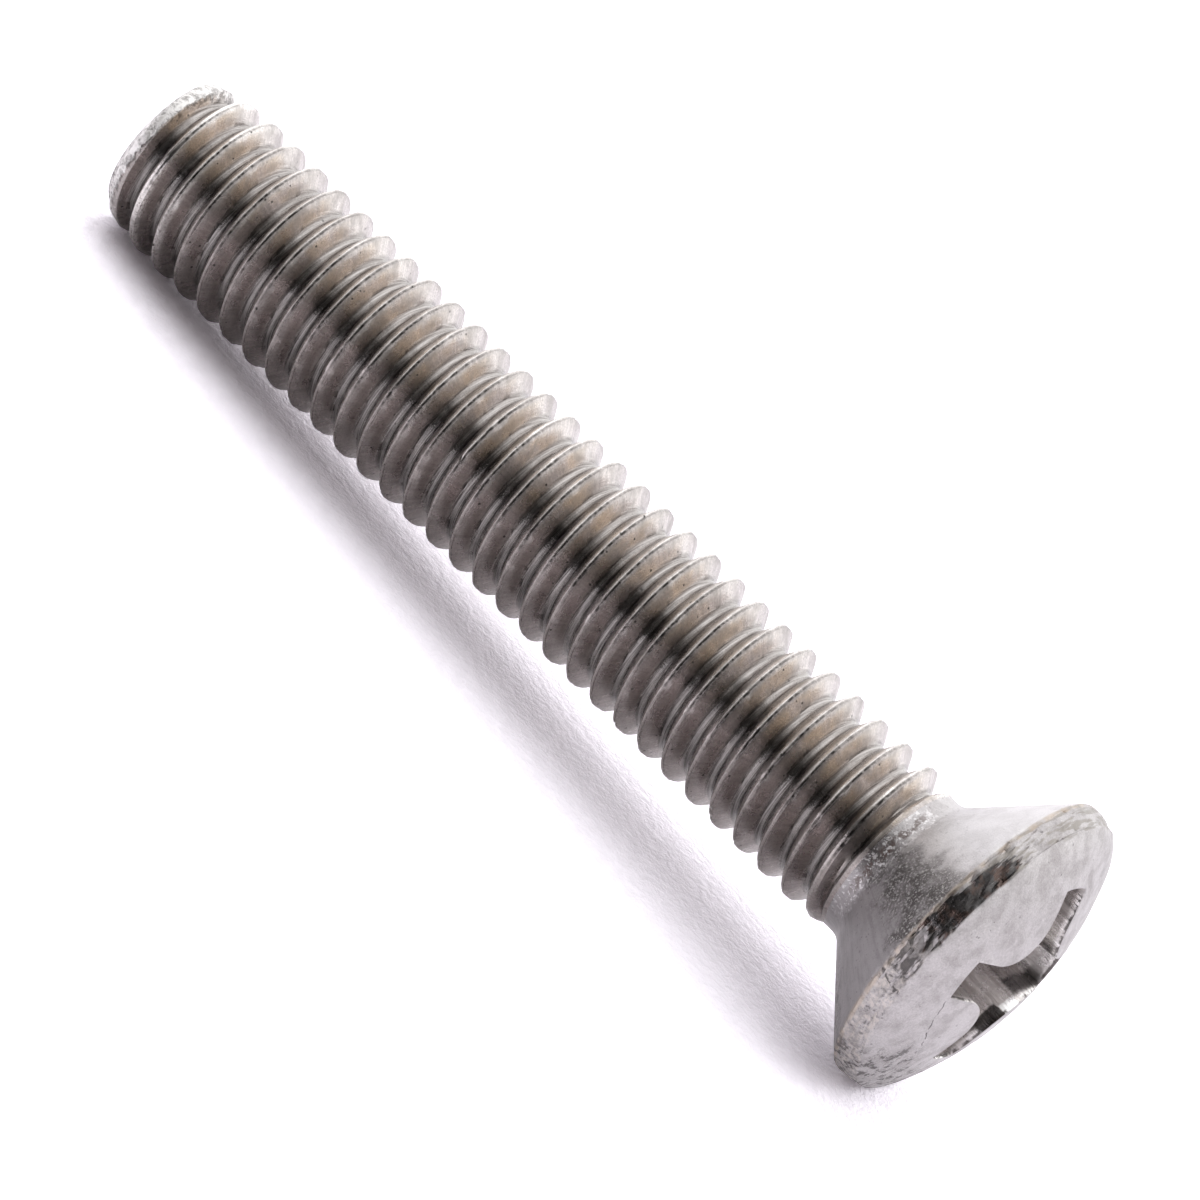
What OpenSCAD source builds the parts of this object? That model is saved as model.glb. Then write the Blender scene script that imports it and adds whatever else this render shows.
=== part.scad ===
/* [Shank] */
// Length from the tail to the edge of the raised top
screw_l = 24.57; // [14:0.1:45]
// Thread diameter over the crests
thread_d = 3.9; // [3.5:0.05:4.5]
// Advance of the thread in one turn
thread_pitch = 0.7; // [0.5:0.05:0.9]
// Angle between the two flanks of the thread
flank_angle = 60; // [50:1:65]
// Width of the flat on each crest
crest_w = 0.09; // [0.05:0.01:0.12]
// Width of the flat at each root
root_w = 0.16; // [0.1:0.01:0.2]
// Height above the tail of the first crest, on the side that lies on the floor
crest_start = 0.5; // [0:0.05:0.7]
// Diameter of the plain neck under the head
neck_d = 3.56; // [3.3:0.02:3.8]
// Length of the plain neck
neck_l = 0.25; // [0.15:0.05:1]
// Length over which the last crest fades out on the neck
crest_fade_l = 0.65; // [0.4:0.05:0.9]
// Length over which the groove of the thread rises to the neck
groove_end_l = 0.14; // [0.06:0.02:0.3]

/* [Tail] */
// Diameter of the flat end face
tail_d = 3.42; // [3:0.02:3.5]
// Length of the steep part of the lead-in
lead_steep_l = 0.8; // [0.4:0.1:1.2]
// Length of the whole lead-in, to the first full crest
lead_l = 1.6; // [1.3:0.1:2.5]
// Share of the lead-in's rise that is in its steep part
lead_share = 0.78; // [0.6:0.02:0.9]

/* [Head] */
// Diameter of the head
head_d = 7.24; // [6.6:0.02:8.4]
// Angle of the countersunk cone
cone_angle = 90; // [80:1:100]
// Height of the cylindrical rim
rim_h = 0.6; // [0.4:0.01:1]
// Rise of the domed top above the rim
dome_h = 0.96; // [0.6:0.01:1.4]
// Radius on both edges of the rim
rim_edge_r = 0.12; // [0.05:0.01:0.18]
// Radius of the hollow between the neck and the cone
neck_fillet_r = 0.5; // [0.3:0.05:0.7]

/* [Recess] */
// Cross recess from wing tip to wing tip at its mouth
recess_d = 4.5; // [4:0.02:4.8]
// Width of a wing at the mouth
wing_w = 0.9; // [0.8:0.02:1.1]
// Radius of the rounded corners of metal between the wings, at the mouth
land_r = 1.05; // [0.5:0.05:1.2]
// Depth of the recess from the top of the dome to the foot of the wings
recess_depth = 2.3; // [1.8:0.05:2.5]
// Slope of the wing ends away from the screw's axis
wing_taper = 13.25; // [5:0.25:16]
// Size of the wings at the foot of the recess, as a share of that at the mouth
foot_share = 0.82; // [0.75:0.01:0.95]
// Depth of the hollow cone under the wings
point_depth = 0.6; // [0.3:0.05:0.7]
// How far the recess was struck off the axis, away from the floor
recess_up = 0.16; // [-0.2:0.01:0.2]
// How far the recess was struck off the axis, to the side
recess_side = 0.16; // [-0.2:0.01:0.2]
// How far the cross is turned from upright
recess_turn = 3.5; // [-45:0.5:45]

/* [Hidden] */

thread_r = thread_d / 2;
neck_r = neck_d / 2;
head_r = head_d / 2;
tail_r = tail_d / 2;

// Thread, whose flanks run down from the flat of the crest to the flat of the root
thread_depth = (thread_pitch - crest_w - root_w) / 2 / tan(flank_angle / 2);
root_r = thread_r - thread_depth;
turn_steps = 32;
round_steps = 96;

// Heights along the screw, with the tail at 0 and the head at the top
rim_s = screw_l - rim_h;
cone_lean = cone_angle / 2;
cone_foot_s = rim_s - (head_r - neck_r) / tan(cone_lean);
fillet_s = cone_foot_s - neck_fillet_r * tan(cone_lean / 2);
neck_s = fillet_s - neck_l;
dome_r = (pow(head_r, 2) + pow(dome_h, 2)) / (2 * dome_h);
dome_s = screw_l + dome_h - dome_r;

// Rounded edges of the rim, which touch the cone and the dome
edge_mid_r = head_r - rim_edge_r;
rim_low_s = rim_s + rim_edge_r * tan(cone_lean / 2);
rim_top_s = dome_s + sqrt(pow(dome_r - rim_edge_r, 2) - pow(edge_mid_r, 2));
dome_edge_angle = acos(edge_mid_r / (dome_r - rim_edge_r));

// Radius between the two parts of the lead-in
lead_mid_r = tail_r + (thread_r - tail_r) * lead_share;

// The screw lies on its rim and on whichever edge near its tail meets the floor first
crest_edges = [for (k = [0 : 5], side = [-1, 1]) crest_start + k * thread_pitch + side * crest_w / 2];
near_edges = concat([0], crest_edges);
edge_leans = [for (s = near_edges) lean_on(s)];
lean = min(edge_leans);
rest_s = [for (k = [0 : len(near_edges) - 1]) if (edge_leans[k] == lean) near_edges[k]][0];
floor_h = lead_r(rest_s) * cos(lean) - rest_s * sin(lean);

// Reach of the leaning screw along the floor, from the edge of the tail to the top of the dome
tail_x = -tail_r * sin(lean);
top_x = dome_s * cos(lean) + dome_r;

// Radius that the lead-in leaves to the thread at height s
function lead_r(s) =
    s < lead_steep_l ? tail_r + (lead_mid_r - tail_r) * s / lead_steep_l
    : s < lead_l ? lead_mid_r + (thread_r - lead_mid_r) * (s - lead_steep_l) / (lead_l - lead_steep_l)
    : thread_r;

// Lean of the screw when it rests on its rim and on an edge at height s
function lean_on(s) =
    let (
        rest_l = rim_low_s - s,
        rest_rise = edge_mid_r - lead_r(s)
    )
    atan(rest_rise / rest_l) + asin(rim_edge_r / norm([rest_l, rest_rise]));

// Points of an arc about [x, y] from angle a to angle b
function arc(x, y, r, a, b, n) =
    [for (k = [0 : n]) [x + r * cos(a + (b - a) * k / n), y + r * sin(a + (b - a) * k / n)]];

// One point of the thread: step i of the helix, corner j of the profile
function thread_point(i, j) =
    let (
        turn = 360 * i / turn_steps,
        r = j < 2 ? thread_r : root_r,
        s = [-crest_w / 2, crest_w / 2, (thread_pitch - root_w) / 2, (thread_pitch + root_w) / 2][j]
    )
    [r * cos(turn), r * sin(turn), crest_start + thread_pitch * i / turn_steps + s];

// Helical rod from below the tail to above the neck, closed by a fan of facets at each end
module thread_rod() {
    first_step = -2 * turn_steps;
    last_step = ceil((cone_foot_s + crest_fade_l - crest_start) / thread_pitch + 1) * turn_steps;
    steps = last_step - first_step;
    rows = steps + turn_steps;
    crest_points = [for (i = [0 : rows]) thread_point(i + first_step, 0)];
    other_points = [for (i = [0 : steps], j = [1 : 3]) thread_point(i + first_step, j)];
    low_mid = [0, 0, crest_start + thread_pitch * (first_step / turn_steps - 1)];
    high_mid = [0, 0, crest_start + thread_pitch * (last_step / turn_steps + 3)];
    points = concat(crest_points, other_points, [low_mid, high_mid]);
    low = len(points) - 2;
    high = len(points) - 1;
    // Place of corner j at step i in the list: corner 4 is corner 0 one turn on
    function place(i, j) = j == 0 ? i : j == 4 ? i + turn_steps : rows + 3 * i + j;
    strips = [
        for (i = [0 : steps - 1], j = [0 : 3])
            each [
                [place(i, j), place(i + 1, j + 1), place(i + 1, j)],
                [place(i, j), place(i, j + 1), place(i + 1, j + 1)]
            ]
    ];
    low_fan = [for (i = [0 : turn_steps - 1]) [low, place(i, 0), place(i + 1, 0)]];
    low_edge = [for (j = [0 : 3]) [low, place(0, j + 1), place(0, j)]];
    high_fan = [for (i = [steps : rows - 1]) [high, place(i + 1, 0), place(i, 0)]];
    high_edge = [for (j = [0 : 3]) [high, place(steps, j), place(steps, j + 1)]];
    polyhedron(points, concat(strips, low_fan, low_edge, high_fan, high_edge), convexity = 10);
}

// Outline of the threaded part: lead-in at the tail, run-out at the neck
module thread_limits() {
    clear_r = thread_r + thread_depth / 4;
    lead_slope = (lead_l - lead_steep_l) / (thread_r - lead_mid_r);
    fade_slope = crest_fade_l / (thread_r - neck_r);
    fade_end_s = neck_s + neck_l / 2;
    rotate_extrude($fn = round_steps)
        polygon([
            [0, 0],
            [tail_r, 0],
            [lead_mid_r, lead_steep_l],
            [clear_r, lead_l + (clear_r - thread_r) * lead_slope],
            [clear_r, fade_end_s - (clear_r - neck_r) * fade_slope],
            [root_r, fade_end_s + (neck_r - root_r) * fade_slope],
            [0, fade_end_s + (neck_r - root_r) * fade_slope]
        ]);
}

module shank() {
    intersection() {
        thread_rod();
        thread_limits();
    }
}

// Neck, hollow fillet, countersunk cone, rim and domed top in one turned piece
module head_blank() {
    core_r = root_r / 2;
    core_s = neck_s - (neck_r - core_r) * groove_end_l / (neck_r - root_r);
    rotate_extrude($fn = round_steps)
        polygon(concat(
            [[0, core_s], [core_r, core_s], [neck_r, neck_s]],
            arc(neck_r + neck_fillet_r, fillet_s, neck_fillet_r, 180, 180 - cone_lean, 6),
            arc(edge_mid_r, rim_low_s, rim_edge_r, -cone_lean, 0, 4),
            arc(edge_mid_r, rim_top_s, rim_edge_r, 0, dome_edge_angle, 4),
            arc(0, dome_s, dome_r, dome_edge_angle, 90, 16)
        ));
}

// Outline of the cross at a share of its size at the mouth, with round corners of metal between wings
module recess_plan(share) {
    half_w = share * wing_w / 2;
    corner_r = share * land_r;
    corner_mid = half_w + corner_r;
    corner = arc(corner_mid, corner_mid, corner_r, 270, 180, 6);
    quarter = concat([[recess_d, -half_w], [recess_d, half_w]], corner);
    polygon([
        for (turn = [0 : 90 : 270], point = quarter)
            [point.x * cos(turn) - point.y * sin(turn), point.x * sin(turn) + point.y * cos(turn)]
    ]);
}

// Tool that shapes the recess: the cross, flared to its mouth, within a tapered and pointed envelope
module recess_tool() {
    mouth_s = dome_s + sqrt(pow(dome_r, 2) - pow(recess_d / 2, 2));
    foot_s = screw_l + dome_h - recess_depth;
    foot_reach = recess_d / 2 - (mouth_s - foot_s) * tan(wing_taper);
    tool_h = recess_depth + dome_h;
    flare = (1 - foot_share) / (mouth_s - foot_s);
    low_share = foot_share - flare * point_depth;
    top_share = foot_share + flare * tool_h;
    translate([0, 0, foot_s])
        rotate([0, 0, -recess_turn])
            intersection() {
                rotate_extrude($fn = round_steps)
                    polygon([
                        [0, -point_depth],
                        [foot_reach, 0],
                        [foot_reach + tool_h * tan(wing_taper), tool_h],
                        [0, tool_h]
                    ]);
                translate([0, 0, -point_depth])
                    linear_extrude(tool_h + point_depth, scale = top_share / low_share)
                        recess_plan(low_share);
            }
}

module screw() {
    color("silver")
        translate([-(tail_x + top_x) / 2, 0, floor_h])
            rotate([0, 90 - lean, 0])
                difference() {
                    union() {
                        shank();
                        head_blank();
                    }
                    translate([-recess_up, -recess_side, 0])
                        recess_tool();
                }
}

screw();
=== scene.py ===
import bpy
import numpy as np
from math import acos, cos, pi, radians, sin, sqrt, tan
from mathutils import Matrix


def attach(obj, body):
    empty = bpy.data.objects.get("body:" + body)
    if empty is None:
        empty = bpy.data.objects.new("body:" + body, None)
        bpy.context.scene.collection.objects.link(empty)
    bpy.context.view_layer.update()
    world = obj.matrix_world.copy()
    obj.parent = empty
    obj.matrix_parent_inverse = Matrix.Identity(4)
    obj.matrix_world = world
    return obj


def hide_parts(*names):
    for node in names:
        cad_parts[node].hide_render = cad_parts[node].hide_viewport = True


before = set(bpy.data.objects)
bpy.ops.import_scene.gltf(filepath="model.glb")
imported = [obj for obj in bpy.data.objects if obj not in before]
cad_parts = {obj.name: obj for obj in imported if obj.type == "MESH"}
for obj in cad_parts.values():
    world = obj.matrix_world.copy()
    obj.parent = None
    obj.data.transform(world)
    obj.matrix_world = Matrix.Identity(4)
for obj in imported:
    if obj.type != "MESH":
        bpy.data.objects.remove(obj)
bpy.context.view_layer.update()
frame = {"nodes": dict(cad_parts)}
print("frame loaded:", ", ".join(frame["nodes"]))

# The screw's sizes in millimetres and degrees, as in the CAD model.
# Heights run along the screw, from the tail's face towards the head.
size = {
    "length": 24.57, "threadRadius": 1.95, "rootRadius": 1.5603, "pitch": 0.7, "crestStart": 0.5,
    "tailRadius": 1.71, "leadSteep": 0.8, "leadLength": 1.6, "leadShare": 0.78,
    "neckRadius": 1.78, "neckLength": 0.25, "crestFade": 0.65, "grooveEnd": 0.14, "neckFillet": 0.5,
    "headRadius": 3.62, "coneLean": 45, "rimHeight": 0.6, "domeHeight": 0.96, "edgeRadius": 0.12,
    "recessReach": 2.25, "wingWidth": 0.9, "landRadius": 1.05, "recessDepth": 2.3, "wingTaper": 13.25,
    "footShare": 0.82, "pointDepth": 0.6, "recessUp": 0.16, "recessSide": 0.16, "recessTurn": 3.5,
}
# How the screw lies: its lean, its axis's height over the floor at the tail, and the middle of its reach
screwRest = {"lean": 4.2514, "floorHeight": 1.82972, "middle": 12.67656}
# Fineness of the mesh: columns round the shank (twice as many round the head), and rows of each part
screwMesh = {
    "columns": 128, "tailRings": 6, "filletRows": 6, "coneRows": 32, "lowEdgeRows": 5, "bandRows": 9,
    "topEdgeRows": 6, "domeRows": 30, "wallRows": 18, "footRows": 8, "mergeDigits": 6, "sharpAngle": 38,
}

# One pitch of the rolled thread: distance from the crest's middle, and drop below the crest.
# A ridge, a seam and a lower ridge make the crest, and the root is rounded.
threadAlong = np.array([-0.27, -0.20, -0.13, -0.092, -0.060, -0.026, 0.000, 0.024,
                        0.044, 0.064, 0.13, 0.20, 0.27, 0.31, 0.35, 0.39])
threadDrop = np.array([0.3897, 0.2685, 0.1472, 0.076, 0.030, 0.0, 0.026, 0.024,
                       0.008, 0.036, 0.1472, 0.2685, 0.3897, 0.407, 0.412, 0.407])
# where the worn crest and its dark seam lie on that profile
crestShare = np.array([0, 0, 0.1, 0.7, 1, 0.8, 0.2, 0.1, 0, 0, 0, 0, 0, 0, 0, 0])
seamShare = np.array([0, 0, 0, 0, 0, 0, 1, 1, 0.6, 0.3, 0, 0, 0, 0, 0, 0])

rimStart = size["length"] - size["rimHeight"]
halfLean = radians(size["coneLean"] / 2)
coneFoot = rimStart - (size["headRadius"] - size["neckRadius"]) / tan(2 * halfLean)
filletStart = coneFoot - size["neckFillet"] * tan(halfLean)
neckStart = filletStart - size["neckLength"]
fadeEnd = neckStart + size["neckLength"] / 2
domeRadius = (size["headRadius"] ** 2 + size["domeHeight"] ** 2) / (2 * size["domeHeight"])
domeMiddle = size["length"] + size["domeHeight"] - domeRadius
edgeMiddle = size["headRadius"] - size["edgeRadius"]
rimLow = rimStart + size["edgeRadius"] * tan(halfLean)
rimTop = domeMiddle + sqrt((domeRadius - size["edgeRadius"]) ** 2 - edgeMiddle ** 2)
domeEdgeAngle = acos(edgeMiddle / (domeRadius - size["edgeRadius"]))
recessMouth = domeMiddle + sqrt(domeRadius ** 2 - size["recessReach"] ** 2)
recessFoot = size["length"] + size["domeHeight"] - size["recessDepth"]

# Wear of the shank: depths in millimetres, the size of the noise that shapes each, and its seed
shankWear = {
    "endFade": 0.1, "crestBand": 0.05, "seamEnd": 0.3, "tailHollow": 0.02,
    "crest": 0.006, "crestSize": 0.9, "crestSeed": 3,
    "nick": 0.03, "nickSize": 0.35, "nickSeed": 8, "nickLevel": 1.05,
    "ripple": 0.004, "rippleSize": 0.5, "rippleSeed": 5,
}
# Wear of the head. Sides are depth, from, to and softness in degrees: 0 faces the camera, 90 faces up.
headWear = {
    "rimHeights": (rimStart - 0.03, size["length"] + 0.05, 0.08), "rimReach": 3.2,
    "scrape": 0.03, "scrapeSize": 1.1, "scrapeSeed": 21, "scrapeStretch": (4, 2.4, 2.4),
    "scrapeLift": 0.15, "scrapeMost": 1.6, "torn": 0.45, "tornSides": [(0.8, 38, 85, 25), (0.7, -6, 50, 12)],
    "dent": 0.02, "dentSize": 0.55, "dentSeed": 33, "dentLevel": 0.8,
    "dentHeights": (rimStart - 0.1, 25.3, 0.2),
    "edgeSides": [(0.11, 50, 140, 30), (0.05, -120, -15, 30)], "edgeWidth": 0.16, "edgeReach": 3.0,
    "swell": 0.006, "swellSize": 1.5, "swellSeed": 40, "swellFade": 0.5,
    "lip": 0.05, "lipMiddle": 0.3, "lipFade": (0.8, 0.5, 0.2, 0),
}
# The noise that wear uses: sines in each octave, how much finer and weaker the next one is, and a divisor
noiseSum = {"sines": 7, "finer": 1.9, "weaker": 1.7, "divisor": 2.6}


# Smooth noise about 0: a sum of sines sin(2 pi p.d / size + phase) with seeded directions d and phases.
def waves(points, size, seed, octaves=2):
    picks = np.random.default_rng(seed)
    total = np.zeros(points.shape[:-1])
    for octave in range(octaves):
        for _ in range(noiseSum["sines"]):
            direction = picks.normal(size=3)
            direction *= 2 * np.pi * noiseSum["finer"] ** octave / (size * np.linalg.norm(direction))
            phase = picks.uniform(0, 2 * np.pi)
            total += np.sin(points @ direction + phase) / noiseSum["weaker"] ** octave
    return total / noiseSum["divisor"]


# Radius of the threaded shank: the thread's profile at its phase d = height - crestStart - pitch * turn,
# raised to the neck at the groove's end, and cut by the lead-in at the tail and the fade at the neck.
def shankRadius(height, turn):
    low = threadAlong[0]
    phase = (height - size["crestStart"] - size["pitch"] * turn - low) % size["pitch"] + low
    drop = np.interp(phase, np.append(threadAlong, low + size["pitch"]), np.append(threadDrop, threadDrop[0]))
    rise = size["neckRadius"] - np.clip(neckStart - height, 0, None) * (
        size["neckRadius"] - size["rootRadius"]) / size["grooveEnd"]
    radius = np.maximum(size["threadRadius"] - drop, rise)
    leadMiddle = size["tailRadius"] + (size["threadRadius"] - size["tailRadius"]) * size["leadShare"]
    lead = np.interp(height, [0, size["leadSteep"], size["leadLength"]],
                     [size["tailRadius"], leadMiddle, size["threadRadius"]])
    fadeSlope = (size["threadRadius"] - size["neckRadius"]) / size["crestFade"]
    fade = size["neckRadius"] + (fadeEnd - height) * fadeSlope
    return np.minimum(radius, np.minimum(lead, fade)), drop


# Points at a radius, angle and height.
def aroundAxis(radius, angle, height):
    return np.stack([radius * np.cos(angle), radius * np.sin(angle), height], axis=-1)


# Grid that follows the helix: height = crestStart + pitch * (k + turn) + along, held between the tail and the
# neck, so that rows beyond either end fold up on its edge.
def makeShank(columns):
    wear = shankWear
    turn = np.arange(columns) / columns
    pitches = np.arange(-2, int(fadeEnd / size["pitch"]) + 1)
    rowHeight = (size["crestStart"] + size["pitch"] * pitches[:, None] + threadAlong[None, :]).ravel()
    height = np.clip(rowHeight[:, None] + size["pitch"] * turn[None, :], 0, fadeEnd)
    turns = np.broadcast_to(turn, height.shape)
    radius, drop = shankRadius(height, turns)
    angle = 2 * np.pi * turns
    points = aroundAxis(radius, angle, height)
    # wear leaves alone the two end edges, where the tail's face and the head join on
    fade = wear["endFade"]
    inside = np.clip(height / fade, 0, 1) * np.clip((fadeEnd - height) / fade, 0, 1)
    onCrest = np.clip(1 - drop / wear["crestBand"], 0, 1) * inside
    rubbed = wear["crest"] * (1 + waves(points, wear["crestSize"], wear["crestSeed"]))
    nicks = waves(points, wear["nickSize"], wear["nickSeed"]) - wear["nickLevel"]
    ripple = wear["ripple"] * inside * waves(points, wear["rippleSize"], wear["rippleSeed"])
    worn = rubbed + wear["nick"] * np.clip(nicks, 0, 1)
    radius = radius - onCrest * np.clip(worn, 0, None) - ripple
    points = aroundAxis(radius, angle, height)
    # the seam column of a row is the first column of the row one pitch further on
    rows = len(rowHeight)
    index = np.arange(rows * columns).reshape(rows, columns)
    nextTurn = np.minimum(np.arange(rows) + len(threadAlong), rows - 1)
    index = np.concatenate([index, index[nextTurn, :1]], axis=1)
    groove = np.clip(drop / threadDrop.max(), 0, 1) * np.clip((neckStart + fade - height) / fade, 0, 1)
    crest = np.tile(crestShare, len(pitches))[:, None] * inside
    seam = np.tile(seamShare, len(pitches))[:, None] * inside * (height < neckStart - wear["seamEnd"])
    return points.reshape(-1, 3), np.stack([groove, crest, seam]).reshape(3, -1), index


# Outline of the cross at a height, in the recess's own axes: a quarter is half a wing tip (an arc of the
# tapered reach), a straight flank, the round corner of the land, the next flank and half the next tip.
# Sizes shrink towards the foot by share = 1 - (1 - footShare) * (mouth - height) / (mouth - foot).
def recessOutline(height, columns):
    share = 1 - (1 - size["footShare"]) * (recessMouth - height) / (recessMouth - recessFoot)
    reach = size["recessReach"] + (height - recessMouth) * tan(radians(size["wingTaper"]))
    half = share * size["wingWidth"] / 2
    land = share * size["landRadius"]
    quarter = columns // 4
    place = np.arange(columns) % quarter
    near = np.minimum(place, quarter - place)  # counted from the nearer wing's middle
    tipEnd, flankEnd = quarter // 8, quarter // 4
    tipAngle = np.arcsin(half / reach) * np.minimum(near, tipEnd) / tipEnd
    tip = np.stack([reach * np.cos(tipAngle), reach * np.sin(tipAngle)], axis=-1)
    along = np.clip((near - tipEnd) / (flankEnd - tipEnd), 0, 1)
    cornerX = np.sqrt(reach ** 2 - half ** 2)
    flank = np.stack([cornerX + (half + land - cornerX) * along, half + 0 * along], axis=-1)
    bend = np.pi / 4 * np.clip((near - flankEnd) / (quarter / 2 - flankEnd), 0, 1)
    corner = np.stack([half + land - land * np.sin(bend), half + land - land * np.cos(bend)], axis=-1)
    point = np.where((near <= tipEnd)[..., None], tip, np.where((near <= flankEnd)[..., None], flank, corner))
    mirrored = place > quarter / 2
    point = np.where(mirrored[..., None], point[..., ::-1], point)
    turn = np.pi / 2 * (np.arange(columns) // quarter) - radians(size["recessTurn"])
    x = point[..., 0] * np.cos(turn) - point[..., 1] * np.sin(turn) - size["recessUp"]
    y = point[..., 0] * np.sin(turn) + point[..., 1] * np.cos(turn) - size["recessSide"]
    return np.stack([x, y], axis=-1)


# Height of the dome over a point of its plan: middle + sqrt(radius^2 - x^2 - y^2).
def domeHeightAt(flat):
    return domeMiddle + np.sqrt(domeRadius ** 2 - (flat ** 2).sum(axis=-1))


def arcRows(middleRadius, middleHeight, radius, fromAngle, toAngle, count):
    angle = np.radians(np.linspace(fromAngle, toAngle, count))
    return np.stack([middleRadius + radius * np.cos(angle), middleHeight + radius * np.sin(angle)], axis=-1)


# 1 between low and high, falling to 0 over the width soft at both ends.
def window(value, low, high, soft):
    return np.clip((value - low) / soft + 0.5, 0, 1) * np.clip((high - value) / soft + 0.5, 0, 1)


# Dents and scrapes: every point moves inward along the grid's normal by the sum of some masks times noise.
def wearHead(grid):
    wear = headWear
    around = np.roll(grid, -1, axis=1) - np.roll(grid, 1, axis=1)
    upward = np.gradient(grid, axis=0)
    normal = np.cross(around, upward)
    normal /= np.linalg.norm(normal, axis=-1, keepdims=True)
    height = grid[..., 2]
    side = np.degrees(np.arctan2(-grid[..., 0], -grid[..., 1]))
    reach = np.hypot(grid[..., 0], grid[..., 1])
    # scrapes run round the rim: the noise is stretched along the turn
    stretched = grid[..., [2, 0, 1]] * wear["scrapeStretch"]
    scrape = waves(stretched, wear["scrapeSize"], wear["scrapeSeed"], 3) + wear["scrapeLift"]
    scrape = np.clip(scrape, 0, wear["scrapeMost"]) * window(height, *wear["rimHeights"])
    scrape = scrape * (reach > wear["rimReach"])
    torn = wear["torn"] + sum(depth * window(side, *sides) for depth, *sides in wear["tornSides"])
    dents = np.clip(waves(grid, wear["dentSize"], wear["dentSeed"]) - wear["dentLevel"], 0, 1)
    dents = dents * window(height, *wear["dentHeights"])
    worn = sum(depth * window(side, *sides) for depth, *sides in wear["edgeSides"])
    worn = worn * np.exp(-((height - rimTop) / wear["edgeWidth"]) ** 2) * (reach > wear["edgeReach"])
    swell = np.clip(waves(grid, wear["swellSize"], wear["swellSeed"]) + 1, 0, 2)
    swell = swell * np.clip((height - rimStart) / wear["swellFade"] + 0.5, 0, 1)
    inward = worn + wear["scrape"] * torn * scrape + wear["dent"] * dents + wear["swell"] * swell
    inward[-len(wear["lipFade"]):] *= np.array(wear["lipFade"])[:, None]  # the lip of the recess stays
    return grid - inward[..., None] * normal


# Rings from the neck up: a turned profile (radius, height) whose columns drift round until they meet the
# recess's outline, then the dome, the lip, the tapered wall and the conical foot of the recess.
def makeHead(columns):
    mesh = screwMesh
    lean = size["coneLean"]
    domeEdge = np.degrees(domeEdgeAngle)
    fillet = arcRows(size["neckRadius"] + size["neckFillet"], filletStart, size["neckFillet"],
                     180, 180 - lean, mesh["filletRows"])
    lowEdge = arcRows(edgeMiddle, rimLow, size["edgeRadius"], -lean, 0, mesh["lowEdgeRows"])
    topEdge = arcRows(edgeMiddle, rimTop, size["edgeRadius"], 0, domeEdge, mesh["topEdgeRows"])
    cone = np.linspace(fillet[-1], lowEdge[0], mesh["coneRows"])[1:-1]
    band = np.linspace(lowEdge[-1], topEdge[0], mesh["bandRows"])[1:-1]
    neck = [[size["neckRadius"], (fadeEnd + filletStart) / 2]]
    profile = np.concatenate([neck, fillet, cone, lowEdge, band, topEdge])

    settleSteps = 6
    center = np.array([-size["recessUp"], -size["recessSide"]])
    mouth = np.full(columns, recessMouth)
    for _ in range(settleSteps):
        mouth = domeHeightAt(recessOutline(mouth, columns))
    outline = recessOutline(mouth, columns)
    fromCenter = outline - center
    recessAngle = np.unwrap(np.arctan2(fromCenter[:, 1], fromCenter[:, 0]))
    evenAngle = 2 * np.pi * np.arange(columns) / columns
    drift = np.clip((profile[:, 1] - fillet[-1, 1]) / (rimLow - fillet[-1, 1]), 0, 1)
    drift = drift * drift * (3 - 2 * drift)
    angle = evenAngle + drift[:, None] * (recessAngle - evenAngle)
    turned = aroundAxis(profile[:, :1], angle, np.broadcast_to(profile[:, 1:], angle.shape))

    along = np.roll(outline, -1, axis=0) - np.roll(outline, 1, axis=0)
    outward = np.stack([along[:, 1], -along[:, 0]], axis=-1)
    outward /= np.linalg.norm(outward, axis=-1, keepdims=True)
    lip = headWear["lip"]
    lipPlan = outline + lip * outward
    step = np.linspace(0, 1, mesh["domeRows"])[1:, None, None]
    domePlan = turned[-1, :, :2] + step * (lipPlan - turned[-1, :, :2])
    dome = np.concatenate([domePlan, domeHeightAt(domePlan)[..., None]], axis=-1)
    midLip = headWear["lipMiddle"] * lip
    midPlan = outline + midLip * outward
    lipRow = np.concatenate([midPlan, (domeHeightAt(midPlan) - midLip)[:, None]], axis=-1)[None]

    reachAtFoot = size["recessReach"] - (recessMouth - recessFoot) * tan(radians(size["wingTaper"]))
    bottom = np.full(columns, recessFoot)
    for _ in range(settleSteps):
        far = np.linalg.norm(recessOutline(bottom, columns) - center, axis=-1)
        bottom = recessFoot - size["pointDepth"] * np.clip(1 - far / reachAtFoot, 0, 1)
    step = np.linspace(0, 1, mesh["wallRows"])[:, None]
    wallHeight = mouth - lip + step * (bottom - mouth + lip)
    wall = np.concatenate([recessOutline(wallHeight, columns), wallHeight[..., None]], axis=-1)
    shrink = 1 - np.linspace(0, 1, mesh["footRows"] + 1)[1:-1, None]
    footPlan = center + shrink[..., None] * (wall[-1, :, :2] - center)
    footFar = np.linalg.norm(footPlan - center, axis=-1)
    footHeight = recessFoot - size["pointDepth"] * (1 - footFar / reachAtFoot)
    foot = np.concatenate([footPlan, footHeight[..., None]], axis=-1)
    tip = np.array([center[0], center[1], recessFoot - size["pointDepth"]])
    outside = wearHead(np.concatenate([turned, dome, lipRow]))
    return outside, np.concatenate([wall, foot]), tip


# Two triangles between each neighbouring pair of vertices of two rows of indices.
def ringFaces(low, high):
    a, b, c, d = low[:, :-1], low[:, 1:], high[:, 1:], high[:, :-1]
    halves = [np.stack(corners, axis=-1).reshape(-1, 3) for corners in ((a, b, c), (a, c, d))]
    return np.concatenate(halves)


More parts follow.
